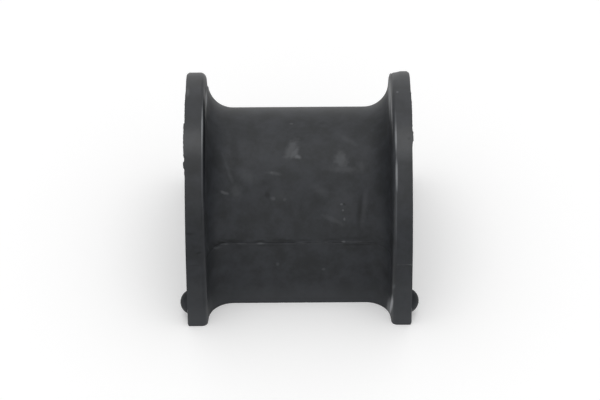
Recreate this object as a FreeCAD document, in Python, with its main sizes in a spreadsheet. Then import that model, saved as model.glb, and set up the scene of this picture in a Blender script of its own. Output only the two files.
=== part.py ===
import FreeCAD, Part

import math
import os

import Sketcher
from FreeCAD import Vector

# Stabiliser bar bushing: one moulded rubber block that grips the bar inside a strap bracket.
#
# Frame, in millimetres: X runs along the bore, Y points to the rear and Z points up from the flat foot.
# The origin lies on the bore's axis, half way between the two flanges.
#
# Above the bore's axis the block is turned about that axis. Below it the front and rear sides drop straight
# down to the foot, so every section across the bore is a D that lies on its flat side.

# Driving dimensions: name, value, what it sets.
SIZES = (
    ("bore_radius", 10.5, "hole that grips the bar"),
    ("mouth_chamfer", 0.5, "lead-in where the bore opens on an end face"),
    ("wall_over_bore", 6.1, "rubber between the bore and the strap seat"),
    ("wall_under_bore", 5.0, "rubber between the bore and the foot"),
    ("seat_length", 36.0, "room for the strap between the roots of the two flanges"),
    ("flange_thickness", 4.15, "one flange at its root, measured along the bore"),
    ("flange_rise", 7.0, "how far a flange stands above the strap seat"),
    ("seat_fillet", 5.0, "concave sweep from the strap seat up to a flange"),
    ("wall_draft", 6.0, "lean of a flange's inner wall, in degrees, wider towards the rim"),
    ("rim_round", 1.2, "rounding of a rim on the strap's side"),
    ("slit_gap", 0.2, "slit that lets the bushing over the bar"),
    ("dome_radius", 2.3, "footprint of the small dome on an end face"),
    ("dome_rise", 1.45, "how far the dome stands out of the end face"),
    ("dome_to_front", 3.8, "from the dome's centre to the flange's front side"),
    ("dome_to_foot", 3.1, "from the dome's centre to the foot"),
)

# Sizes that follow from the driving ones: name, formula.
# The sweep is never larger than the straight part of the flange's inner wall can carry.
DERIVED = (
    ("seat_radius", "bore_radius + wall_over_bore"),
    ("foot_drop", "bore_radius + wall_under_bore"),
    ("rim_radius", "seat_radius + flange_rise"),
    ("half_seat", "seat_length / 2"),
    ("half_length", "half_seat + flange_thickness"),
    ("sweep_radius", "min(seat_fillet; 0.9 * (flange_rise - rim_round))"),
)

# Two lengths count as the same within this, in millimetres.
TOLERANCE = 0.001

# How a constraint names the sketch's own origin, and the points of a line, an arc or a circle.
ORIGIN = (-1, 1)
START = 1
END = 2
CENTRE = 3


def fill_sheet(doc):
    """Write every size into the document's sheet, one alias to a row."""
    sheet = doc.addObject("Spreadsheet::Sheet", "sizes")
    row = 0
    for name, value, note in SIZES:
        row += 1
        sheet.set(f"A{row}", name)
        sheet.set(f"B{row}", str(value))
        sheet.set(f"C{row}", note)
        sheet.setAlias(f"B{row}", name)
    for name, formula in DERIVED:
        row += 1
        sheet.set(f"A{row}", name)
        sheet.set(f"B{row}", f"={formula}")
        sheet.setAlias(f"B{row}", name)
    doc.recompute()
    return sheet


def origin_feature(body, role):
    """One of the body's own origin planes or axes."""
    return next(item for item in body.Origin.OriginFeatures if item.Role == role)


def add_sketch(body, name, plane):
    """An empty sketch on one of the body's origin planes."""
    sketch = body.newObject("Sketcher::SketchObject", name)
    sketch.AttachmentSupport = [(origin_feature(body, plane), "")]
    sketch.MapMode = "FlatFace"
    return sketch


def add_line(sketch, start, end):
    return sketch.addGeometry(Part.LineSegment(Vector(*start), Vector(*end)))


def add_arc(sketch, centre, radius, first, last):
    """An arc that runs anticlockwise between two angles in degrees."""
    circle = Part.Circle(Vector(*centre), Vector(0, 0, 1), radius)
    return sketch.addGeometry(Part.ArcOfCircle(circle, math.radians(first), math.radians(last)))


def constrain(sketch, *constraint):
    return sketch.addConstraint(Sketcher.Constraint(*constraint))


def bind(sketch, name, formula, *constraint):
    """Add a sizing constraint whose value follows a formula on the sheet."""
    index = constrain(sketch, *constraint)
    sketch.renameConstraint(index, name)
    sketch.setExpression(f"Constraints.{name}", formula)


def draw_outline(sketch, sheet):
    """A quarter of the block's plan, level with the bore's axis: end face, rim, wall, sweep and strap seat.

    The end face's outer edge is sharp, because the mould's end plate meets the rim there.
    """
    end = sheet.half_length
    wall = sheet.half_seat
    rim = sheet.rim_radius
    seat = sheet.seat_radius
    edge = sheet.rim_round
    sweep = sheet.sweep_radius
    lean = sheet.wall_draft

    axis = add_line(sketch, (0, 0), (end, 0))
    end_face = add_line(sketch, (end, 0), (end, rim))
    rim_line = add_line(sketch, (end, rim), (wall + edge, rim))
    rim_edge = add_arc(sketch, (wall + edge, rim - edge), edge, 90, 180 - lean)
    inner_wall = add_line(sketch, (wall, seat + sweep), (wall, rim - edge))
    seat_sweep = add_arc(sketch, (wall - sweep, seat + sweep), sweep, 270, 360 - lean)
    seat_line = add_line(sketch, (wall - sweep, seat), (0, seat))
    middle = add_line(sketch, (0, seat), (0, 0))

    for line in (axis, rim_line, seat_line):
        constrain(sketch, "Horizontal", line)
    for line in (end_face, middle):
        constrain(sketch, "Vertical", line)
    constrain(sketch, "Coincident", axis, START, *ORIGIN)
    for first, second in ((axis, end_face), (end_face, rim_line), (seat_line, middle), (middle, axis)):
        constrain(sketch, "Coincident", first, END, second, START)
    constrain(sketch, "Tangent", rim_line, END, rim_edge, START)
    constrain(sketch, "Tangent", rim_edge, END, inner_wall, END)
    constrain(sketch, "Tangent", inner_wall, START, seat_sweep, END)
    constrain(sketch, "Tangent", seat_sweep, START, seat_line, START)

    bind(sketch, "end_at", "sizes.half_length", "DistanceX", *ORIGIN, end_face, START, end)
    bind(sketch, "root_at", "sizes.half_seat", "DistanceX", *ORIGIN, inner_wall, START, wall)
    bind(sketch, "rim_at", "sizes.rim_radius", "DistanceY", *ORIGIN, rim_line, START, rim)
    bind(sketch, "seat_at", "sizes.seat_radius", "DistanceY", *ORIGIN, seat_line, START, seat)
    bind(sketch, "edge", "sizes.rim_round", "Radius", rim_edge, edge)
    bind(sketch, "sweep", "sizes.sweep_radius", "Radius", seat_sweep, sweep)
    steepness = math.radians(90 - lean)
    bind(sketch, "steepness", "(90 - sizes.wall_draft) * 1 deg", "Angle", inner_wall, steepness)


def draw_dome(sketch, sheet):
    """Half of the dome's section, level with its centre line. Returns that line."""
    face = sheet.half_length
    centre = -(sheet.rim_radius - sheet.dome_to_front)
    footprint = sheet.dome_radius
    rise = sheet.dome_rise
    ball = (footprint**2 + rise**2) / (2 * rise)
    half_angle = math.degrees(math.asin(footprint / ball))

    foot = add_line(sketch, (face, centre + footprint), (face, centre))
    centre_line = add_line(sketch, (face, centre), (face + rise, centre))
    crown = add_arc(sketch, (face + rise - ball, centre), ball, 0, half_angle)

    constrain(sketch, "Vertical", foot)
    constrain(sketch, "Horizontal", centre_line)
    constrain(sketch, "Coincident", foot, END, centre_line, START)
    constrain(sketch, "Coincident", centre_line, END, crown, START)
    constrain(sketch, "Coincident", crown, END, foot, START)
    constrain(sketch, "PointOnObject", crown, CENTRE, centre_line)

    to_centre = "sizes.rim_radius - sizes.dome_to_front"
    bind(sketch, "face_at", "sizes.half_length", "DistanceX", *ORIGIN, foot, END, face)
    bind(sketch, "centre_at", to_centre, "DistanceY", foot, END, *ORIGIN, -centre)
    bind(sketch, "footprint", "sizes.dome_radius", "DistanceY", foot, END, foot, START, footprint)
    bind(sketch, "rise", "sizes.dome_rise", "DistanceX", centre_line, START, centre_line, END, rise)
    return centre_line


def draw_bore(sketch, sheet):
    circle = Part.Circle(Vector(0, 0, 0), Vector(0, 0, 1), sheet.bore_radius)
    wall = sketch.addGeometry(circle)
    constrain(sketch, "Coincident", wall, CENTRE, *ORIGIN)
    bind(sketch, "bore", "sizes.bore_radius", "Radius", wall, sheet.bore_radius)


def draw_slit(sketch, sheet):
    """A thin slot from the bore's axis forwards, past the rims."""
    half_gap = sheet.slit_gap / 2
    reach = 2 * sheet.rim_radius

    low = add_line(sketch, (-reach, -half_gap), (0, -half_gap))
    rear = add_line(sketch, (0, -half_gap), (0, half_gap))
    high = add_line(sketch, (0, half_gap), (-reach, half_gap))
    front = add_line(sketch, (-reach, half_gap), (-reach, -half_gap))

    for first, second in ((low, rear), (rear, high), (high, front), (front, low)):
        constrain(sketch, "Coincident", first, END, second, START)
    for line in (low, high):
        constrain(sketch, "Horizontal", line)
    for line in (front, rear):
        constrain(sketch, "Vertical", line)
    constrain(sketch, "Symmetric", rear, START, rear, END, *ORIGIN)

    bind(sketch, "gap", "sizes.slit_gap", "DistanceY", rear, START, rear, END, sheet.slit_gap)
    bind(sketch, "reach", "2 * sizes.rim_radius", "DistanceX", low, START, low, END, reach)


def circles_about_bore(shape, radius):
    """Names of the full circles of one radius about the bore's axis."""
    names = []
    for number, edge in enumerate(shape.Edges, 1):
        if edge.Degenerated or not isinstance(edge.Curve, Part.Circle):
            continue
        centre = edge.Curve.Center
        if math.hypot(centre.y, centre.z) < TOLERANCE and abs(edge.Curve.Radius - radius) < TOLERANCE:
            names.append(f"Edge{number}")
    return names


def cut_through(body, name, sketch):
    """Cut a sketch through the whole body, both ways along the bore."""
    pocket = body.newObject("PartDesign::Pocket", name)
    pocket.Profile = sketch
    pocket.Type = "ThroughAll"
    pocket.SideType = "Symmetric"
    return pocket


def build_bushing(doc, sheet):
    """The whole bushing, moulded and slit as one piece."""
    body = doc.addObject("PartDesign::Body", "bushing")
    body.Label = "bushing"
    along_bore = (origin_feature(body, "X_Axis"), [""])
    front_to_rear = (origin_feature(body, "XZ_Plane"), [""])
    end_to_end = (origin_feature(body, "YZ_Plane"), [""])

    # Upper half of one end: the outline turned from the rear, over the top, to the front.
    outline = add_sketch(body, "outline", "XY_Plane")
    draw_outline(outline, sheet)
    arch = body.newObject("PartDesign::Revolution", "arch")
    arch.Profile = outline
    arch.ReferenceAxis = along_bore
    arch.Angle = 180

    # Lower half of one end: the same outline let down to the foot at the rear, then copied to the front.
    rear_side = body.newObject("PartDesign::Pad", "rear_side")
    rear_side.Profile = outline
    rear_side.Reversed = True
    rear_side.setExpression("Length", "sizes.foot_drop")
    front_side = body.newObject("PartDesign::Mirrored", "front_side")
    front_side.Originals = [rear_side]
    front_side.MirrorPlane = front_to_rear
    body.Tip = front_side

    # Small dome near the lower front corner of the end face.
    dome_section = add_sketch(body, "dome_section", "XY_Plane")
    dome_level = "sizes.dome_to_foot - sizes.foot_drop"
    dome_section.setExpression("AttachmentOffset.Base.z", dome_level)
    centre_line = draw_dome(dome_section, sheet)
    doc.recompute()
    dome = body.newObject("PartDesign::Revolution", "dome")
    dome.Profile = dome_section
    dome.ReferenceAxis = (dome_section, [f"Edge{centre_line + 1}"])
    dome.Angle = 360
    doc.recompute()

    # The other end is a mirror image.
    other_end = body.newObject("PartDesign::Mirrored", "other_end")
    other_end.TransformMode = "Whole shape"
    other_end.MirrorPlane = end_to_end
    body.Tip = other_end

    # The bore runs from end face to end face and has a lead-in at each.
    bore_section = add_sketch(body, "bore_section", "YZ_Plane")
    draw_bore(bore_section, sheet)
    bore = cut_through(body, "bore", bore_section)
    doc.recompute()
    bore_mouths = body.newObject("PartDesign::Chamfer", "bore_mouths")
    bore_mouths.Base = (bore, circles_about_bore(bore.Shape, sheet.bore_radius))
    bore_mouths.setExpression("Size", "sizes.mouth_chamfer")
    doc.recompute()

    # The slit is cut after moulding, so its lips are sharp.
    slit_section = add_sketch(body, "slit_section", "YZ_Plane")
    draw_slit(slit_section, sheet)
    cut_through(body, "slit", slit_section)
    doc.recompute()
    return body


def check(doc, parts):
    """Stop on a feature that failed or a part that isn't one sound solid."""
    for item in doc.Objects:
        if "Invalid" in item.State or "Error" in item.State:
            raise RuntimeError(f"{item.Name} failed: {item.State}")
    for item in doc.Objects:
        if item.isDerivedFrom("Sketcher::SketchObject") and not item.FullyConstrained:
            raise RuntimeError(f"{item.Name} has free geometry")
    for part in parts:
        if part.Shape.isNull() or not part.Shape.isValid() or len(part.Shape.Solids) != 1:
            raise RuntimeError(f"{part.Label} isn't one sound solid")


def main():
    doc = FreeCAD.newDocument("bushing_model")
    sheet = fill_sheet(doc)
    parts = [build_bushing(doc, sheet)]
    check(doc, parts)
    os.makedirs("parts", exist_ok=True)
    for part in parts:
        part.Shape.exportStep(os.path.join("parts", f"{part.Label}.step"))


main()
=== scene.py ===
import math

import bpy
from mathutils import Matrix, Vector


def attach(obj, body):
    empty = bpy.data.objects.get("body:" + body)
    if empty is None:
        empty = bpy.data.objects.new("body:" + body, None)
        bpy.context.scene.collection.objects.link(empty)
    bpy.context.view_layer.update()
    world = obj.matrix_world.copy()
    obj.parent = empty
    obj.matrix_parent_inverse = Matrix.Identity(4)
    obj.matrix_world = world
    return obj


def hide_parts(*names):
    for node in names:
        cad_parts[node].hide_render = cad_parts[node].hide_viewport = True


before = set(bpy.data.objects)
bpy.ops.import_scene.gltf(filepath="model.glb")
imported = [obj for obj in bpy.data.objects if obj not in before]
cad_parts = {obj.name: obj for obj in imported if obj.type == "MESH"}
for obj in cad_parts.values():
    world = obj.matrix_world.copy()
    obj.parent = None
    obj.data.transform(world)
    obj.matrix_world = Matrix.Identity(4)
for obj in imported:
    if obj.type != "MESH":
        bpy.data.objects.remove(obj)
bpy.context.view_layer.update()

# The frame is in metres. Lengths below are in millimetres and tilts in degrees, unless a value is multiplied
# by MM or turned to radians where it stands.
MM = 0.001

# The block, with X along the bore, Y to the rear and Z up. The flange's wall begins at ROOT_AT along X, and
# the sweep is the round hollow that leads up to it from the seat.
BORE_RADIUS = 10.5
MOUTH_CHAMFER = 0.5
SEAT_RADIUS = 16.6
RIM_RADIUS = 23.6
FOOT_DROP = 15.5
HALF_LENGTH = 22.15
ROOT_AT = 18.0
SWEEP = 5.0
RIM_ROUND = 1.2
WALL_DRAFT = math.radians(6.0)
FOOT_BEVEL = 0.45

# Where each rim meets the end face: a thin edge of rubber that the flash grows from.
EDGE_DEPTH = 0.25
EDGE_OUT = 0.02
EDGE_FALL = 0.03
END_INSET = 0.2

# The small dome near each end face's lower front corner.
DOME_FOOT = 2.3
DOME_RISE = 1.45
DOME_Y = -19.8
DOME_Z = -12.4
DOME_SUNK = 0.3

# How finely the skin is divided: along the bore, round the arch and down the legs. The first two steps down
# are short, for the lip under the slit.
SEAT_STEPS = 36
SWEEP_STEPS = 20
WALL_STEPS = 3
ROUND_STEPS = 9
RIM_STEPS = 7
ARCH_STEPS = 240
LIP_STEPS = (0.12, 0.3)
LEG_STEPS = 36
FOOT_BEVEL_STEPS = 4
BORE_SIDES = 160
DOME_SEGMENTS = 48
DOME_RINGS = 32

# Where a vertex counts as lying on a plane, and where two count as one.
NEAR = 0.004
WELD = 0.001

# Mould flash on the rims' outer edges: the end, the tilts it lies between and how far it stands out.
FLASH = (
    (-1, -2, 45, 0.03),
    (-1, 3, 44, 0.05),
    (-1, 18, 36, 0.17),
    (-1, 24, 32, 0.05),
    (-1, 38, 41, 0.2),
    (1, -2, 31, 0.04),
    (1, 4, 30, 0.06),
    (1, 23, 28, 0.14),
)
FLASH_BEGINS = 3 * EDGE_OUT
FLASH_RAGGED = 0.06

# Behind the top, between these tilts, and on the legs, below these heights, the same edges are rubbed down.
RUBBED_TILTS = ((-60, -3), (-64, -6), (-68, -10), (-72, -14))
RUBBED_BY = 0.04
LEG_RUBBED_BELOW = (-11, -13, -14.5)
LEG_RUBBED_BY = 0.07
LEG_EDGE_DEPTH = 0.16
LEG_EDGE_WIDTH = 0.1

# The wear behind the top grows ring by ring in small steps, for each part of the skin from a first tilt on.
WEAR_RINGS = 16
WEAR_LAST_TILT = -78

# Worn round: both outer edges, and the strip of rim next to each.
WORN_FROM = -19
WORN_DEPTH = 0.2
WORN_ABOVE = 23
WORN_SHRINK = 0.99925
STRIP_BETWEEN = (0.1, 0.6)
STRIP_INWARD = 0.0125

# Leaning out: the inner side of the left flange.
LEAN_FROM = 2
LEAN_BETWEEN = (-19.6, -18)
LEAN_ABOVE = 21
LEAN_OUT = 0.011

# Rounder: the inner edge of the right rim.
ROUNDED_FROM = -15
ROUNDED_FROM_X = 18.6
ROUNDED_TO_X = (19.4, 19.8, 20.2)
ROUNDED_ABOVE = 22.9
ROUNDED_SHRINK = 0.99978

# The lip under the slit: how far it stands proud, how uneven it is, and where along X it swells by how much.
LIP_LOW = -0.3
LIP_PROUD = 0.07
LIP_UNEVEN = 0.08
LIP_SWELLS = ((-17.3, -14, 0.08), (6, 14.5, 0.06))

# The fine raised line on the inner rounding of each rim: its X and the tilts it lies between.
MOULD_LINES = ((-18.78, 9, 58), (18.96, 14, 75))
MOULD_LINE_HALF_WIDTH = 0.03
MOULD_LINE_ABOVE = 23.3
MOULD_LINE_RISE = 0.05

# The blade that cuts the slit, and where it gapes, is pressed shut and rises.
BLADE_STEPS = 130
BLADE_PAST_ENDS = 2
BLADE_MIDDLE_Y = -17
BLADE_WIDTH = 17
BLADE_THICKNESS = 0.05
BLADE_UNEVEN = 0.03
BLADE_UP = 0.06
GAPE_BETWEEN = (-17.2, -14.6)
GAPE = 2.5
SHUT_FROM = 14.2
SHUT = 0.4
RISES = ((-18.0, -12.8), (-17.6, -13.4), (-17.3, -14.2))
RISE = 0.12

# Seeds of the random unevenness.
FLASH_SEED = 4
LIP_SEED = 7
BLADE_SEED = 11

# Edges sharper than this stay sharp when the skin is shaded smooth.
SMOOTH_BELOW = math.radians(40)

# The rubber's colours: darker and paler parts of the skin, a painted reflection of the white table towards
# the foot, dark marks and painted shade, pale marks and painted highlights, and rubbed lines and painted
# reflections.
SEAT_COLOURS = ("#27292b", "#34363a")
LEFT_RIM_COLOURS = ("#27292b", "#313337")
RIGHT_RIM_COLOURS = ("#2c2e30", "#36383c")
# Painted reflection of the white table, for the skin towards the foot.
TABLE_REFLECTION_COLOUR = "#47494c"
# Dark marks, and painted shade along the slit and beside the left inner rounding.
DARK_AND_SHADE_COLOUR = "#1b1d1f"
# Pale scuffs and marks, and painted highlights on the right rim and on the lip under the slit.
PALE_AND_HIGHLIGHT_COLOUR = "#5c5e61"
# Rubbed lines, and painted reflections and a painted highlight on the inner walls.
RUBBED_AND_REFLECTION_COLOUR = "#b4b6b9"

# Noise: the clouds of the moulded skin, the flecks that make marks ragged and the grain.
CLOUD_SCALE = 260.0
FLECK_SCALE = 1100.0
GRAIN_SCALE = 5000.0
RAGGEDNESS = 1.4
GRAIN_STRENGTH = 0.25
GRAIN_DEPTH = 0.02

# Marks are drawn with a round falloff that reaches this many times their size.
MARK_REACH = 3

# Marks belong to the outside, so the bore and the end faces are put out of their reach.
INSIDE_BELOW = 16
END_BEYOND_X = 20
END_FACE_BELOW = 23.2
OUT_OF_REACH = 100

# Soft steps in the rubber's look: where each begins and ends, and what it gives at both. Those in millimetres
# run on X, on Z or on the distance from the bore's axis, and those in degrees on the tilt.
RIM_BAND = (22.3 * MM, 23.3 * MM)
SWEEP_BAND = (16.8 * MM, 19.0 * MM)
MIDDLE_BAND = (-MM, MM)
CLOUD_CONTRAST = (0.3, 0.7)
# Painted reflection of the white table: paler towards the foot, and on the rims from higher up.
TABLE_REFLECTION_AT_FOOT = (-9 * MM, -15.5 * MM, 0.0, 0.6)
TABLE_REFLECTION_ON_RIM = (-2 * MM, -7 * MM, 0.0, 0.35)
SHEEN_ALONG_SEAT = (8 * MM, 15 * MM, 0.36, 0.3)
SHEEN_LOW_ON_SEAT = (-3 * MM, 8 * MM, 0.66, 1.0)
SHEEN_BEHIND_SEAT = (math.radians(-25), 0.0, 1.35, 1.0)
SHEEN_ON_SWEEP = (math.radians(9), math.radians(20), 0.08, 0.2)
SHEEN_ON_RIM = (5 * MM, 14 * MM, 0.17, 0.38)
SHEEN_BEHIND_RIM = (math.radians(-38), math.radians(-20), 1.35, 1.0)
SWEEP_DULLEST_AT = math.radians(5)

# The seat's roughness, and the rims' from behind the top to the front. Below about 0.274 the render shows a
# step in tone across both rims, so the rims stay rougher than that.
SEAT_ROUGHNESS = 0.57
RIM_ROUGHNESS = (math.radians(-25), math.radians(5), 0.5, 0.278)

# The room: a table just under the foot, a bright sky that is darker at the sides, and a softbox overhead. The
# table's size and the softbox are in metres and watts.
TABLE_SIZE = 4
TABLE_GAP = 0.01
TABLE_COLOUR = "#f4f4f4"
TABLE_LIFT = 0.22
SKY_COLOUR = "#ffffff"
SKY_LOW = 0.72
SKY_HIGH = 1.25
SKY_AT_SIDES = (0.2, 0.8, 1.0, 0.4)
SOFTBOX_PLACE = (0, -0.04, 0.8)
SOFTBOX_SIZE = (0.7, 0.3)
SOFTBOX_POWER = 0.88

# The camera: 38.7 degrees above the table, square to the slit's side, with a long lens. Its distance and
# nearest sight are in metres.
CAMERA_ELEVATION = math.radians(38.7)
CAMERA_ROLL = math.radians(-0.388)
CAMERA_DISTANCE = 0.8
CAMERA_LENS = 240
CAMERA_SENSOR = 36
CAMERA_NEAREST = 0.01
AIM_SIDEWAYS = 0.226
AIM_DOWN = 2.03


def point(x, y, z):
    return Vector((x, y, z)) * MM


def begin(name):
    """Name the primitive that was just added, bring its origin to the frame's and open it for editing."""
    bpy.ops.object.transform_apply(location=True, rotation=True, scale=True)
    piece = bpy.context.object
    piece.name = name
    bpy.ops.object.mode_set(mode="EDIT")
    return piece


def finish_editing():
    bpy.ops.object.mode_set(mode="OBJECT")


def choose(test):
    """Select the vertices of the piece being edited that pass a test on their place in millimetres."""
    bpy.ops.mesh.select_mode(type="VERT")
    bpy.ops.mesh.select_all(action="DESELECT")
    bpy.ops.object.mode_set(mode="OBJECT")
    for vertex in bpy.context.object.data.vertices:
        vertex.select = test(*(vertex.co / MM))
    bpy.ops.object.mode_set(mode="EDIT")
    bpy.ops.mesh.select_mode(type="VERT")


def choose_all():
    bpy.ops.mesh.select_all(action="SELECT")


def push(x, y, z):
    """Extrude what is selected by a step in millimetres."""
    bpy.ops.mesh.extrude_region_move(TRANSFORM_OT_translate={"value": point(x, y, z)})


def move(x, y, z):
    """Shift what is selected by a step in millimetres."""
    bpy.ops.transform.translate(value=point(x, y, z))


def resize(x, y, z, centre=(0, 0, 0)):
    """Scale what is selected about a centre in millimetres."""
    bpy.ops.transform.resize(value=(x, y, z), center_override=point(*centre))


def turn_faces_outward():
    choose_all()
    bpy.ops.mesh.normals_make_consistent(inside=False)


def run(x, y, steps):
    """Carry the outline on from its last point in a straight line of equal steps."""
    for _ in range(steps):
        push(x / steps, y / steps, 0)


def turn(centre_x, centre_y, degrees, steps):
    """Carry the outline on round a centre; a positive turn is anticlockwise seen from above."""
    bpy.ops.mesh.spin(
        steps=steps, angle=math.radians(degrees), center=point(centre_x, centre_y, 0), axis=(0, 0, -1)
    )


def apply_modifier(piece, kind, **settings):
    """Add a modifier, set it and apply it."""
    bpy.context.view_layer.objects.active = piece
    modifier = piece.modifiers.new(kind.title(), kind)
    for name, value in settings.items():
        setattr(modifier, name, value)
    bpy.ops.object.modifier_apply(modifier=modifier.name)


def combine(piece, tool, operation):
    """Cut the piece with the tool or join the tool to it, then take the tool away."""
    apply_modifier(piece, "BOOLEAN", object=tool, operation=operation, solver="EXACT")
    bpy.data.objects.remove(tool, do_unlink=True)


def tilt(y, z):
    """The angle from the top of the arch towards the front, in degrees."""
    return math.degrees(math.atan2(-y, z))


def behind(y, z, first, ring):
    """Whether a place on the arch lies behind a first tilt; each further ring begins later, ends sooner."""
    step = 180 / ARCH_STEPS * ring
    return step + WEAR_LAST_TILT < tilt(y, z) < first - step


def outline():
    """Half of the block's plan at bore level, from mid-seat out to the end face, as a chain of edges."""
    bpy.ops.mesh.primitive_plane_add(size=MM, location=point(0, SEAT_RADIUS, 0))
    block = begin("bushing_body")
    choose_all()
    bpy.ops.mesh.merge(type="CENTER")

    lean = math.degrees(WALL_DRAFT)
    sweep_x = ROOT_AT - SWEEP * math.cos(WALL_DRAFT)
    sweep_y = SEAT_RADIUS + SWEEP
    wall_foot = sweep_y - SWEEP * math.sin(WALL_DRAFT)
    rim_y = RIM_RADIUS - RIM_ROUND
    wall_top = rim_y + RIM_ROUND * math.sin(WALL_DRAFT)
    wall_run = (wall_top - wall_foot) * math.tan(WALL_DRAFT)
    rim_x = ROOT_AT + wall_run + RIM_ROUND * math.cos(WALL_DRAFT)

    run(sweep_x, 0, SEAT_STEPS)
    turn(sweep_x, sweep_y, 90 - lean, SWEEP_STEPS)
    run(wall_run, wall_top - wall_foot, WALL_STEPS)
    turn(rim_x, rim_y, lean - 90, ROUND_STEPS)
    run(HALF_LENGTH - EDGE_DEPTH - rim_x, 0, RIM_STEPS)
    run(EDGE_DEPTH + EDGE_OUT, -EDGE_FALL, 1)
    run(-EDGE_OUT, -EDGE_DEPTH, 1)
    return block


def close_block(block):
    """Turn the outline from rear to front over the top, drop both sides to the foot and close the block."""
    choose_all()
    bpy.ops.mesh.spin(steps=ARCH_STEPS, angle=math.pi, center=(0, 0, 0), axis=(-1, 0, 0))
    choose(lambda x, y, z: z < NEAR)
    for step in LIP_STEPS:
        push(0, 0, -step)
    for _ in range(LEG_STEPS):
        push(0, 0, -(FOOT_DROP - sum(LIP_STEPS)) / LEG_STEPS)

    # The end face closes the section and the other end is a mirror image.
    choose(lambda x, y, z: abs(x - HALF_LENGTH) < NEAR)
    bpy.ops.mesh.edge_face_add()
    bpy.ops.mesh.inset(thickness=END_INSET * MM)
    finish_editing()
    apply_modifier(
        block, "MIRROR", use_axis=(True, False, False), use_clip=True, merge_threshold=WELD * MM
    )
    bpy.ops.object.mode_set(mode="EDIT")
    choose(lambda x, y, z: z < NEAR - FOOT_DROP)
    bpy.ops.mesh.edge_face_add()

    # Both ends of the foot are rounded off.
    choose(lambda x, y, z: z < NEAR - FOOT_DROP and abs(x) > HALF_LENGTH - NEAR)
    bpy.ops.mesh.select_mode(type="EDGE")
    bpy.ops.mesh.bevel(offset=FOOT_BEVEL * MM, segments=FOOT_BEVEL_STEPS, clamp_overlap=False)


def draw_edge(side, start, end, outward):
    """Draw the outer edge of one end outwards between two tilts."""
    choose(lambda x, y, z: x * side > HALF_LENGTH + NEAR and start < tilt(y, z) < end)
    move(side * outward, 0, 0)


def grow_flash():
    """Grow ragged mould flash on the upper part of both rims' outer edges."""
    for side, start, end, outward in FLASH:
        draw_edge(side, start, end, outward)
    choose(lambda x, y, z: abs(x) > HALF_LENGTH + FLASH_BEGINS)
    bpy.ops.transform.vertex_random(offset=FLASH_RAGGED * MM, seed=FLASH_SEED)


def rub_edges():
    """Rub both outer edges down behind the top and towards the foot."""
    for side in (-1, 1):
        for start, end in RUBBED_TILTS:
            draw_edge(side, start, end, -RUBBED_BY)
        for below in LEG_RUBBED_BELOW:
            choose(
                lambda x, y, z: x * side > HALF_LENGTH - LEG_EDGE_DEPTH
                and abs(y) > RIM_RADIUS - LEG_EDGE_WIDTH
                and z < below
            )
            move(-side * LEG_RUBBED_BY, 0, 0)


def wear_behind_top():
    """Behind the top, wear both end edges round, lean the left inner side out and round the right inner edge.

    Each grows ring by ring and fades out again, so that the skin stays smooth.
    """
    strip_start, strip_stop = STRIP_BETWEEN
    lean_start, lean_stop = LEAN_BETWEEN
    for ring in range(WEAR_RINGS):
        choose(
            lambda x, y, z: abs(x) > HALF_LENGTH - WORN_DEPTH
            and math.hypot(y, z) > WORN_ABOVE
            and behind(y, z, WORN_FROM, ring)
        )
        resize(1, WORN_SHRINK, WORN_SHRINK)
        for side in (-1, 1):
            choose(
                lambda x, y, z: strip_start < HALF_LENGTH - x * side < strip_stop
                and behind(y, z, WORN_FROM, ring)
            )
            move(-side * STRIP_INWARD, 0, 0)
        choose(
            lambda x, y, z: lean_start < x < lean_stop
            and math.hypot(y, z) > LEAN_ABOVE
            and behind(y, z, LEAN_FROM, ring)
        )
        move(-LEAN_OUT, 0, 0)
        for outer_x in ROUNDED_TO_X:
            choose(
                lambda x, y, z: ROUNDED_FROM_X < x < outer_x
                and math.hypot(y, z) > ROUNDED_ABOVE
                and behind(y, z, ROUNDED_FROM, ring)
            )
            resize(1, ROUNDED_SHRINK, ROUNDED_SHRINK)


def raise_lip():
    """Raise the rubber just below the slit a little, as an uneven lip."""
    choose(lambda x, y, z: y < 0 and LIP_LOW < z < NEAR and abs(x) < ROOT_AT)
    move(0, -LIP_PROUD, 0)
    choose(lambda x, y, z: y < 0 and abs(z) < NEAR and abs(x) < ROOT_AT)
    bpy.ops.transform.vertex_random(offset=LIP_UNEVEN * MM, uniform=0, normal=1, seed=LIP_SEED)
    for start, end, outward in LIP_SWELLS:
        choose(lambda x, y, z: y < 0 and abs(z) < NEAR and start < x < end)
        move(0, -outward, 0)


def raise_mould_lines():
    """Raise a fine line, left by the mould's joint, along the inner rounding of both rims."""
    for line_x, start, end in MOULD_LINES:
        choose(
            lambda x, y, z: abs(x - line_x) < MOULD_LINE_HALF_WIDTH
            and math.hypot(y, z) > MOULD_LINE_ABOVE
            and start < tilt(y, z) < end
        )
        bpy.ops.transform.shrink_fatten(value=MOULD_LINE_RISE * MM)


def model_block():
    """The D-shaped block with its flanges, bore, slit, domes, mould flash and wear."""
    block = outline()
    close_block(block)
    grow_flash()
    rub_edges()
    wear_behind_top()
    raise_lip()
    turn_faces_outward()
    raise_mould_lines()
    finish_editing()

    combine(block, model_bore(), "DIFFERENCE")
    combine(block, model_slit(), "DIFFERENCE")
    for side in (-1, 1):
        combine(block, model_dome(side), "UNION")
    return block


def model_bore():
    """The bore's form, flared at both ends for the lead-ins."""
    bpy.ops.mesh.primitive_cylinder_add(
        vertices=BORE_SIDES,
        radius=BORE_RADIUS * MM,
        depth=2 * (HALF_LENGTH - MOUTH_CHAMFER) * MM,
        end_fill_type="NGON",
        rotation=(0, math.pi / 2, 0),
    )
    bore = begin("bore_form")
    flare = 2 * MOUTH_CHAMFER
    growth = (BORE_RADIUS + flare) / BORE_RADIUS
    for side in (-1, 1):
        choose(lambda x, y, z: x * side > 0)
        push(side * flare, 0, 0)
        resize(1, growth, growth, (side * HALF_LENGTH, 0, 0))
    turn_faces_outward()
    finish_editing()
    return bore


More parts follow.
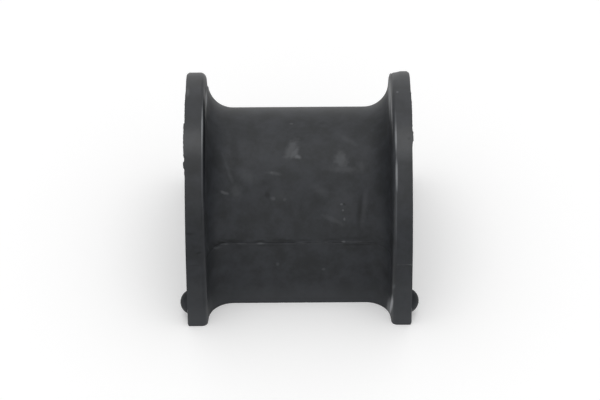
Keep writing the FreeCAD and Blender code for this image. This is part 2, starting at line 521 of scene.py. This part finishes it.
def model_slit():
    """A thin uneven blade from inside the bore to past the front."""
    length = 2 * HALF_LENGTH + BLADE_PAST_ENDS
    start = (-length / 2, BLADE_MIDDLE_Y, 0)
    bpy.ops.mesh.primitive_plane_add(size=MM, rotation=(0, math.pi / 2, 0), location=point(*start))
    blade = begin("slit_form")
    choose_all()
    resize(1, BLADE_WIDTH, BLADE_THICKNESS, start)
    for _ in range(BLADE_STEPS):
        push(length / BLADE_STEPS, 0, 0)
    choose_all()
    bpy.ops.transform.vertex_random(offset=BLADE_UNEVEN * MM, seed=BLADE_SEED)

    # It gapes and rises where the seat meets the left flange, and is pressed shut under both rims.
    choose(lambda x, y, z: GAPE_BETWEEN[0] < x < GAPE_BETWEEN[1])
    resize(1, 1, GAPE)
    choose(lambda x, y, z: x > SHUT_FROM or abs(x) > ROOT_AT)
    resize(1, 1, SHUT)
    choose_all()
    move(0, 0, BLADE_UP)
    for rise_start, rise_end in RISES:
        choose(lambda x, y, z: rise_start < x < rise_end)
        move(0, 0, RISE)
    turn_faces_outward()
    finish_editing()
    return blade


def model_dome(side):
    """A shallow cap of a ball, sunk a little into the end face."""
    ball = (DOME_FOOT**2 + DOME_RISE**2) / (2 * DOME_RISE)
    middle = side * (HALF_LENGTH + DOME_RISE - ball)
    bpy.ops.mesh.primitive_uv_sphere_add(
        segments=DOME_SEGMENTS,
        ring_count=DOME_RINGS,
        radius=ball * MM,
        location=point(middle, DOME_Y, DOME_Z),
        rotation=(0, math.pi / 2, 0),
    )
    dome = begin("dome_form")
    choose_all()
    bpy.ops.mesh.bisect(
        plane_co=point(side * (HALF_LENGTH - DOME_SUNK), 0, 0),
        plane_no=(side, 0, 0),
        use_fill=True,
        clear_inner=True,
    )
    turn_faces_outward()
    finish_editing()
    return dome


def linear(hex_colour):
    """An sRGB hex colour as linear RGBA."""
    channels = (int(hex_colour[i : i + 2], 16) / 255 for i in (1, 3, 5))
    return (*(c / 12.92 if c <= 0.04045 else ((c + 0.055) / 1.055) ** 2.4 for c in channels), 1)


def input_of(node, name):
    """A node's input by its number, as in i2, or by its name with underscores for blanks."""
    if name[0] == "i" and name[1:].isdigit():
        return node.inputs[int(name[1:])]
    return node.inputs[name.replace("_", " ")]


def add_node(tree, kind, settings=None, **inputs):
    """Add a node, set its properties and set or link its inputs."""
    node = tree.nodes.new(kind)
    for name, value in (settings or {}).items():
        setattr(node, name, value)
    for name, value in inputs.items():
        socket = input_of(node, name)
        if isinstance(value, bpy.types.NodeSocket):
            tree.links.new(value, socket)
        else:
            socket.default_value = value
    return node


def new_material(name):
    material = bpy.data.materials.new(name)
    material.use_nodes = True
    material.node_tree.nodes.clear()
    return material, material.node_tree


def maths(tree, operation, *values):
    inputs = {f"i{i}": value for i, value in enumerate(values)}
    return add_node(tree, "ShaderNodeMath", {"operation": operation}, **inputs).outputs[0]


def noise(tree, place, **settings):
    return add_node(tree, "ShaderNodeTexNoise", Vector=place, **settings).outputs["Fac"]


def blend(tree, factor, low, high):
    """Mix two colours."""
    return add_node(tree, "ShaderNodeMix", {"data_type": "RGBA"}, Factor=factor, i6=low, i7=high).outputs[2]


def between(tree, factor, low, high):
    """Mix two numbers."""
    return add_node(tree, "ShaderNodeMix", {"data_type": "FLOAT"}, Factor=factor, i2=low, i3=high).outputs[0]


def fade(tree, value, start, end, at_start=0.0, at_end=1.0):
    """A soft step from one value to another."""
    return add_node(
        tree, "ShaderNodeMapRange", {"interpolation_type": "SMOOTHSTEP"},
        Value=value, From_Min=start, From_Max=end, To_Min=at_start, To_Max=at_end,
    ).outputs[0]


def mark(tree, skin, ragged, at, size, turned=0.0, soft=0.35, rough=1.0, strength=1.0):
    """A ragged oval spot on the skin; places and half sizes are in millimetres, the turn in degrees."""
    own = add_node(
        tree, "ShaderNodeMapping", {"vector_type": "TEXTURE"},
        Vector=skin, Location=point(*at, 0), Rotation=(0, 0, math.radians(turned)),
        Scale=(size[0] * MARK_REACH * MM, size[1] * MARK_REACH * MM, 1),
    ).outputs[0]
    ball = add_node(tree, "ShaderNodeTexGradient", {"gradient_type": "SPHERICAL"}, Vector=own).outputs["Fac"]
    uneven = maths(tree, "MULTIPLY_ADD", ragged, -rough / MARK_REACH, ball)
    return fade(tree, uneven, 1 - (1 + soft) / MARK_REACH, 1 - (1 - soft) / MARK_REACH, 0.0, strength)


def strongest(tree, masks):
    result = masks[0]
    for mask in masks[1:]:
        result = maths(tree, "MAXIMUM", result, mask)
    return result


def gather(tree, skin, ragged, spots):
    """The strongest of many marks at every place; each is added before the next is made."""
    total = 0.0
    for at, size, looks in spots:
        total = maths(tree, "MAXIMUM", mark(tree, skin, ragged, at, size, **looks), total)
    return total


def spot(x, y, half_width, half_length, **looks):
    """One mark: its place and half sizes on the skin laid flat, in millimetres, and how it looks."""
    return (x, y), (half_width, half_length), looks


# Pale scuffs on the seat, from the top of the arch to below the slit.
SCUFFS = (
    spot(-1.4, 6.4, 0.85, 2.2, turned=24, soft=0.6, strength=0.45),
    spot(-0.8, 7.4, 0.55, 1.3, turned=32, soft=0.6, strength=0.6),
    spot(-0.25, 8.2, 0.6, 0.4, turned=25, soft=0.8, strength=0.8),
    spot(8.3, 8.9, 1.1, 1.6, turned=-10, soft=0.6, strength=0.4),
    spot(9.0, 10.9, 2.6, 0.6, turned=5, soft=0.8, strength=0.22),
    spot(12.3, 10.5, 0.7, 0.9, turned=-30, soft=0.9, strength=0.2),
    spot(9.8, 4.6, 2.0, 0.5, turned=38, soft=0.8, strength=0.16),
    spot(-5.0, 11.6, 1.4, 0.3, turned=8, soft=0.8, strength=0.25),
    spot(-5.3, 11.5, 0.35, 0.2, soft=0.6, strength=0.45),
    spot(-14.5, 15.6, 0.7, 0.28, soft=0.6, strength=0.5),
    spot(-12.3, 15.2, 0.9, 1.2, soft=0.9, strength=0.25),
    spot(-10.0, 12.2, 1.6, 0.9, turned=30, soft=1.0, strength=0.16),
    spot(-13.6, 11.5, 0.3, 2.6, turned=-20, soft=0.9, strength=0.16),
    spot(-5.0, 16.6, 0.45, 0.4, soft=0.7, strength=0.4),
    spot(-3.4, 16.2, 1.4, 1.0, soft=1.0, strength=0.14),
    spot(-2.8, 16.8, 0.35, 0.35, soft=0.7, strength=0.3),
    spot(4.3, 15.2, 1.6, 0.7, turned=25, soft=1.0, strength=0.16),
    spot(8.6, 18.2, 3.0, 3.6, soft=0.5, strength=0.1),
    spot(6.9, 21.0, 2.2, 0.55, turned=28, soft=0.7, strength=0.22),
    spot(12.8, 18.5, 0.5, 2.8, turned=8, soft=0.8, strength=0.18),
    spot(8.3, 17.8, 0.28, 0.22, soft=0.5, strength=0.7),
    spot(8.6, 19.0, 0.22, 0.22, soft=0.5, strength=0.6),
    spot(8.9, 20.8, 0.2, 0.35, soft=0.5, strength=0.6),
    spot(-4.3, 31.6, 0.3, 0.4, soft=0.7, strength=0.3),
    spot(4.8, 32.9, 0.3, 0.3, soft=0.7, strength=0.3),
    spot(-1.4, -0.1, 0.35, 0.3, soft=0.5, strength=0.4),
)

# Dark marks beside the scuffs and on the rims, painted shade in the groove beside the left flange's inner
# rounding, and painted shade along the slit, which lies at about 26 mm.
DARK_MARKS_AND_SHADE = (
    spot(0.0, 4.2, 1.2, 0.6, soft=0.9, strength=0.5),
    spot(-12.6, 6.3, 0.7, 3.4, turned=-4, soft=0.8, strength=0.5),
    spot(11.9, 19.0, 0.5, 2.6, turned=4, soft=0.8, strength=0.8),
    spot(-6.2, 15.9, 0.5, 0.6, soft=0.8, strength=0.8),
    spot(4.8, -0.2, 0.7, 0.5, soft=0.9, strength=0.5),
    spot(-6.6, 13.4, 1.1, 0.5, soft=0.9, strength=0.4),
    spot(8.9, 17.8, 0.25, 0.2, soft=0.5, strength=0.9),
    spot(-21.0, 15.9, 2.6, 2.2, soft=0.5, strength=0.5),
    spot(-21.3, 29.8, 0.9, 0.25, soft=0.6, strength=0.7),
    spot(-19.6, 34.0, 0.5, 0.25, turned=-25, soft=0.6, strength=0.8),
    spot(21.5, 11.0, 0.35, 0.35, soft=0.6, strength=0.8),
    # Painted shade in the groove beside the left flange's inner rounding.
    spot(-18.4, 9.5, 0.17, 11.0, soft=0.6, rough=0.2, strength=1.0),
    # Painted shade along the slit, above its raised lower lip.
    spot(-13.0, 25.6, 1.8, 0.35, soft=0.8, strength=0.8),
    spot(-15.3, 26.5, 0.9, 0.4, turned=-20, soft=0.7, strength=1.0),
    spot(-16.4, 27.5, 0.7, 0.4, turned=-45, soft=0.7, strength=0.9),
    spot(-7.8, 25.7, 1.1, 0.3, soft=0.8, strength=0.9),
    spot(-3.0, 25.6, 2.2, 0.35, soft=0.8, rough=1.6, strength=0.8),
    spot(1.2, 25.5, 1.4, 0.25, soft=0.8, strength=0.4),
    spot(6.6, 25.4, 1.3, 0.3, soft=0.8, strength=0.6),
    spot(10.3, 25.1, 2.4, 0.35, soft=0.9, strength=0.5),
    spot(11.3, 26.7, 2.8, 0.25, soft=0.8, strength=0.8),
    spot(-5.0, 26.8, 4.0, 0.2, soft=0.9, rough=2.0, strength=0.4),
)

# Pale marks: lines along the inner roundings, wear at single places on the rims, a painted highlight that
# carries the right rim's lit band lower, and a painted highlight along the top edge of the lip under the
# slit.
PALE_MARKS_AND_HIGHLIGHTS = (
    spot(-18.76, 12.5, 0.17, 10.0, soft=0.7, rough=0.3, strength=0.75),
    spot(-18.76, 8.0, 0.2, 3.0, soft=0.7, rough=0.3, strength=1.0),
    spot(18.96, 9.6, 0.18, 4.4, soft=0.7, rough=0.3, strength=0.8),
    spot(19.02, 18.3, 0.2, 3.2, soft=0.7, rough=0.4, strength=1.0),
    spot(18.9, 24.0, 0.16, 7.0, soft=0.8, rough=0.3, strength=0.6),
    spot(-17.6, 44.3, 0.4, 2.0, soft=0.9, rough=0.2, strength=0.15),
    spot(18.54, 42.5, 0.25, 0.5, soft=0.8, rough=0.3, strength=0.5),
    spot(-17.86, 30.3, 0.25, 0.35, soft=0.8, strength=0.3),
    spot(19.5, -1.1, 0.25, 0.35, strength=0.8),
    spot(21.9, 37.1, 0.9, 0.14, soft=0.8, rough=0.4, strength=0.5),
    spot(20.7, 37.1, 1.5, 0.12, soft=0.8, rough=0.6, strength=0.14),
    spot(19.35, 37.1, 0.25, 0.2, soft=0.8, strength=0.2),
    spot(-21.7, -1.6, 0.3, 1.2, soft=0.9, rough=0.6, strength=0.6),
    # Painted highlight that carries the right rim's lit band lower.
    spot(21.0, 14.0, 2.8, 1.4, soft=0.6, rough=0.3, strength=0.15),
    # Painted highlight along the top edge of the raised lip under the slit.
    spot(-14.6, 26.6, 0.8, 0.2, turned=-15, soft=0.8, strength=0.45),
    spot(-16.2, 28.2, 0.8, 0.2, turned=-40, soft=0.8, strength=0.3),
    spot(-11.6, 26.3, 1.0, 0.16, soft=0.8, strength=0.3),
    spot(-7.6, 26.25, 0.6, 0.2, soft=0.8, strength=0.6),
    spot(0.3, 26.1, 0.9, 0.16, soft=0.8, strength=0.4),
    spot(4.6, 26.1, 1.6, 0.15, soft=0.8, rough=1.4, strength=0.4),
    spot(8.7, 26.0, 0.4, 0.22, soft=0.7, strength=1.0),
    spot(10.8, 26.05, 2.4, 0.14, soft=0.8, strength=0.35),
)

# Bare rubbed lines on both inner roundings, painted reflections on both inner walls at the top, and a painted
# highlight in the right sweep near the foot.
RUBBED_AND_REFLECTIONS = (
    # Painted reflection on the left inner wall at the top.
    spot(-18.1, -3.0, 0.13, 3.4, soft=0.6, rough=0.1, strength=0.46),
    spot(-18.1, 1.5, 0.1, 2.5, soft=0.8, rough=0.2, strength=0.16),
    spot(-18.78, 8.5, 0.1, 4.5, soft=0.7, rough=0.2, strength=0.5),
    # Painted reflection on the right inner wall at the top.
    spot(18.04, -4.0, 0.18, 6.0, soft=0.8, rough=0.2, strength=0.55),
    spot(18.22, 3.0, 0.12, 3.0, soft=0.8, rough=0.2, strength=0.2),
    spot(18.96, 10.8, 0.16, 2.2, soft=0.8, rough=0.3, strength=0.32),
    spot(19.02, 18.3, 0.18, 2.4, soft=0.8, rough=0.3, strength=0.32),
    # Painted highlight in the right sweep near the foot.
    spot(17.7, 45.4, 0.35, 1.7, soft=0.9, rough=0.2, strength=0.4),
    spot(18.1, 46.3, 0.26, 1.5, soft=0.8, rough=0.2, strength=1.0),
)

# Places on the left inner rounding that don't shine.
MATT = (
    spot(-18.42, 10.5, 0.25, 12.0, soft=0.4, rough=0.1),
    spot(-18.7, -4.5, 0.4, 4.0, soft=0.6, rough=0.1, strength=0.6),
    spot(-18.6, 43.0, 0.5, 4.5, soft=0.6, rough=0.1, strength=0.4),
)


def lay_flat(tree, axes):
    """The skin laid flat, with the distance from the bore's axis and the tilt that it is made of.

    It runs along the bore, and round the outside from the top of the arch to the front and down.
    """
    above = maths(tree, "MAXIMUM", axes["Z"], 0.0)
    below = maths(tree, "MAXIMUM", maths(tree, "MULTIPLY", axes["Z"], -1.0), 0.0)
    angle = maths(tree, "ARCTAN2", maths(tree, "MULTIPLY", axes["Y"], -1.0), above)
    across = add_node(tree, "ShaderNodeCombineXYZ", Y=axes["Y"], Z=above).outputs[0]
    height = add_node(tree, "ShaderNodeVectorMath", {"operation": "LENGTH"}, i0=across).outputs["Value"]
    arc = maths(tree, "MULTIPLY", angle, height)
    way = maths(tree, "MULTIPLY_ADD", maths(tree, "SIGN", angle), below, arc)

    # The end faces and the bore are moved along X, out of every mark's reach.
    inside = maths(tree, "LESS_THAN", height, INSIDE_BELOW * MM)
    outer = maths(tree, "GREATER_THAN", maths(tree, "ABSOLUTE", axes["X"]), END_BEYOND_X * MM)
    end_face = maths(tree, "MULTIPLY", outer, maths(tree, "LESS_THAN", height, END_FACE_BELOW * MM))
    unmarked = maths(tree, "MAXIMUM", inside, end_face)
    along = maths(tree, "MULTIPLY_ADD", unmarked, OUT_OF_REACH * MM, axes["X"])
    return add_node(tree, "ShaderNodeCombineXYZ", X=along, Y=way).outputs[0], height, angle


def rubber_colour(tree, axes, skin, ragged, rim, mottle):
    """Clouded black with marks, painted shade and painted highlights; the right rim is a little paler, and a
    painted reflection of the white table lightens everything at the foot.
    """
    scuffs = gather(tree, skin, ragged, SCUFFS)
    dark_marks_and_shade = gather(tree, skin, ragged, DARK_MARKS_AND_SHADE)
    pale_marks_and_highlights = gather(tree, skin, ragged, PALE_MARKS_AND_HIGHLIGHTS)
    rubbed_and_reflected = gather(tree, skin, ragged, RUBBED_AND_REFLECTIONS)

    seat, left_rim, right_rim = (
        blend(tree, mottle, *map(linear, colours))
        for colours in (SEAT_COLOURS, LEFT_RIM_COLOURS, RIGHT_RIM_COLOURS)
    )
    both_rims = blend(tree, fade(tree, axes["X"], *MIDDLE_BAND), left_rim, right_rim)
    clean = blend(tree, rim, seat, both_rims)
    # Painted reflection of the white table, lightening the skin towards the foot and the rims from higher up.
    table_reflection = fade(tree, axes["Z"], *TABLE_REFLECTION_AT_FOOT)
    rim_table_reflection = maths(tree, "MULTIPLY", rim, fade(tree, axes["Z"], *TABLE_REFLECTION_ON_RIM))
    reflecting_table = blend(tree, maths(tree, "ADD", table_reflection, rim_table_reflection), clean, linear(TABLE_REFLECTION_COLOUR))
    # Dark marks, and painted shade along the slit and beside the left inner rounding.
    dark = blend(tree, dark_marks_and_shade, reflecting_table, linear(DARK_AND_SHADE_COLOUR))
    # Pale scuffs and marks, and painted highlights on the right rim and on the lip under the slit.
    marked_and_highlighted = blend(tree, strongest(tree, [scuffs, pale_marks_and_highlights]), dark, linear(PALE_AND_HIGHLIGHT_COLOUR))
    # Rubbed lines, and painted reflections and a painted highlight on the inner walls.
    return blend(tree, rubbed_and_reflected, marked_and_highlighted, linear(RUBBED_AND_REFLECTION_COLOUR))


def rubber_sheen(tree, axes, skin, ragged, rim, height, angle):
    """Little in the sweeps, more on the rims, where the mould was smoother, and less low down."""
    aside = fade(tree, maths(tree, "ABSOLUTE", axes["X"]), *SHEEN_ALONG_SEAT)
    sweep = fade(tree, height, *SWEEP_BAND)
    past_top = maths(tree, "ABSOLUTE", maths(tree, "ADD", angle, SWEEP_DULLEST_AT))
    on_sweep = fade(tree, past_top, *SHEEN_ON_SWEEP)
    low = fade(tree, axes["Z"], *SHEEN_LOW_ON_SEAT)
    far_seat = maths(tree, "MULTIPLY", aside, fade(tree, angle, *SHEEN_BEHIND_SEAT))
    on_seat = maths(tree, "MULTIPLY", between(tree, sweep, far_seat, on_sweep), low)
    far_rim = fade(tree, angle, *SHEEN_BEHIND_RIM)
    on_rim = maths(tree, "MULTIPLY", fade(tree, axes["Z"], *SHEEN_ON_RIM), far_rim)
    matt = gather(tree, skin, ragged, MATT)
    glossy = between(tree, rim, on_seat, on_rim)
    return maths(tree, "MULTIPLY", glossy, maths(tree, "SUBTRACT", 1.0, matt))


def moulded_rubber():
    """Black rubber as it left the mould: matt seat, smoother rims, light scuffs where it was handled."""
    material, tree = new_material("moulded_rubber")
    place = add_node(tree, "ShaderNodeTexCoord").outputs["Object"]
    axes = add_node(tree, "ShaderNodeSeparateXYZ", Vector=place).outputs
    skin, height, angle = lay_flat(tree, axes)

    rim = fade(tree, height, *RIM_BAND)
    clouds = noise(tree, place, Scale=CLOUD_SCALE, Detail=6.0, Roughness=0.65)
    mottle = fade(tree, clouds, *CLOUD_CONTRAST)
    flecks = noise(tree, place, Scale=FLECK_SCALE, Detail=3.0)
    ragged = maths(tree, "MULTIPLY", maths(tree, "SUBTRACT", flecks, 0.5), RAGGEDNESS)
    colour = rubber_colour(tree, axes, skin, ragged, rim, mottle)

    grain = noise(tree, place, Scale=GRAIN_SCALE, Detail=3.0)
    bump = add_node(
        tree, "ShaderNodeBump", Strength=GRAIN_STRENGTH, Distance=GRAIN_DEPTH * MM, Height=grain
    ).outputs[0]
    roughness = between(tree, rim, SEAT_ROUGHNESS, fade(tree, angle, *RIM_ROUGHNESS))
    sheen = rubber_sheen(tree, axes, skin, ragged, rim, height, angle)
    surface = add_node(
        tree, "ShaderNodeBsdfPrincipled",
        Base_Color=colour, Roughness=roughness, Normal=bump, Specular_IOR_Level=sheen,
    )
    add_node(tree, "ShaderNodeOutputMaterial", Surface=surface.outputs[0])
    return material


def pale_floor():
    """White matt table that keeps the object's soft shadow."""
    material, tree = new_material("matt_white_table")
    board = add_node(tree, "ShaderNodeBsdfDiffuse", Color=linear(TABLE_COLOUR)).outputs[0]
    rays = add_node(tree, "ShaderNodeLightPath").outputs
    seen = strongest(tree, [rays["Is Camera Ray"], rays["Is Glossy Ray"], rays["Is Transmission Ray"]])
    glow = maths(tree, "MULTIPLY", seen, TABLE_LIFT)
    lift = add_node(tree, "ShaderNodeEmission", Strength=glow).outputs[0]
    surface = add_node(tree, "ShaderNodeAddShader", i0=board, i1=lift).outputs[0]
    add_node(tree, "ShaderNodeOutputMaterial", Surface=surface)
    return material


def white_room():
    """A white sky, brightest overhead and darker to both sides."""
    world = bpy.data.worlds.new("white_room")
    world.use_nodes = True
    world.node_tree.nodes.clear()
    tree = world.node_tree
    toward = add_node(tree, "ShaderNodeTexCoord").outputs["Generated"]
    axes = add_node(tree, "ShaderNodeSeparateXYZ", Vector=toward).outputs
    upward = maths(tree, "MULTIPLY", axes["Z"], axes["Z"])
    ceiling = add_node(tree, "ShaderNodeMapRange", Value=upward, To_Min=SKY_LOW, To_Max=SKY_HIGH).outputs[0]
    aside = fade(tree, maths(tree, "ABSOLUTE", axes["X"]), *SKY_AT_SIDES)
    strength = maths(tree, "MULTIPLY", ceiling, aside)
    sky = add_node(tree, "ShaderNodeBackground", Color=linear(SKY_COLOUR), Strength=strength)
    add_node(tree, "ShaderNodeOutputWorld", Surface=sky.outputs[0])
    return world


def build_stage():
    """The table, the room's light and the softbox."""
    bpy.ops.object.select_all(action="DESELECT")
    bpy.ops.mesh.primitive_plane_add(size=TABLE_SIZE, location=point(0, 0, -FOOT_DROP - TABLE_GAP))
    floor = bpy.context.object
    floor.name = "floor"
    floor.data.materials.append(pale_floor())

    bpy.context.scene.world = white_room()

    bpy.ops.object.light_add(type="AREA", location=SOFTBOX_PLACE)
    softbox = bpy.context.object
    softbox.name = "overhead_softbox"
    softbox.data.shape = "RECTANGLE"
    softbox.data.size, softbox.data.size_y = SOFTBOX_SIZE
    softbox.data.energy = SOFTBOX_POWER


def place_camera():
    """At the photo's viewing angle, turned a little about its own line of sight."""
    back = Vector((0, -math.cos(CAMERA_ELEVATION), math.sin(CAMERA_ELEVATION)))
    up = Vector((0, math.sin(CAMERA_ELEVATION), math.cos(CAMERA_ELEVATION)))
    aim = point(AIM_SIDEWAYS, 0, 0) - up * AIM_DOWN * MM
    bpy.ops.object.camera_add(location=aim + back * CAMERA_DISTANCE)
    camera = bpy.context.object
    camera.name = "camera"
    camera.rotation_mode = "QUATERNION"
    camera.rotation_quaternion = (-back).to_track_quat("-Z", "Y")
    camera.rotation_mode = "XYZ"
    camera.rotation_euler.rotate_axis("Z", CAMERA_ROLL)
    camera.data.lens = CAMERA_LENS
    camera.data.sensor_width = CAMERA_SENSOR
    camera.data.clip_start = CAMERA_NEAREST
    bpy.context.scene.camera = camera


bpy.ops.object.select_all(action="DESELECT")
body = model_block()
body.data.materials.clear()
body.data.materials.append(moulded_rubber())
bpy.ops.object.select_all(action="DESELECT")
body.select_set(True)
bpy.context.view_layer.objects.active = body
bpy.ops.object.shade_smooth_by_angle(angle=SMOOTH_BELOW)
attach(body, "root")
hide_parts("bushing")

build_stage()
place_camera()
bpy.context.scene.view_settings.view_transform = "Standard"
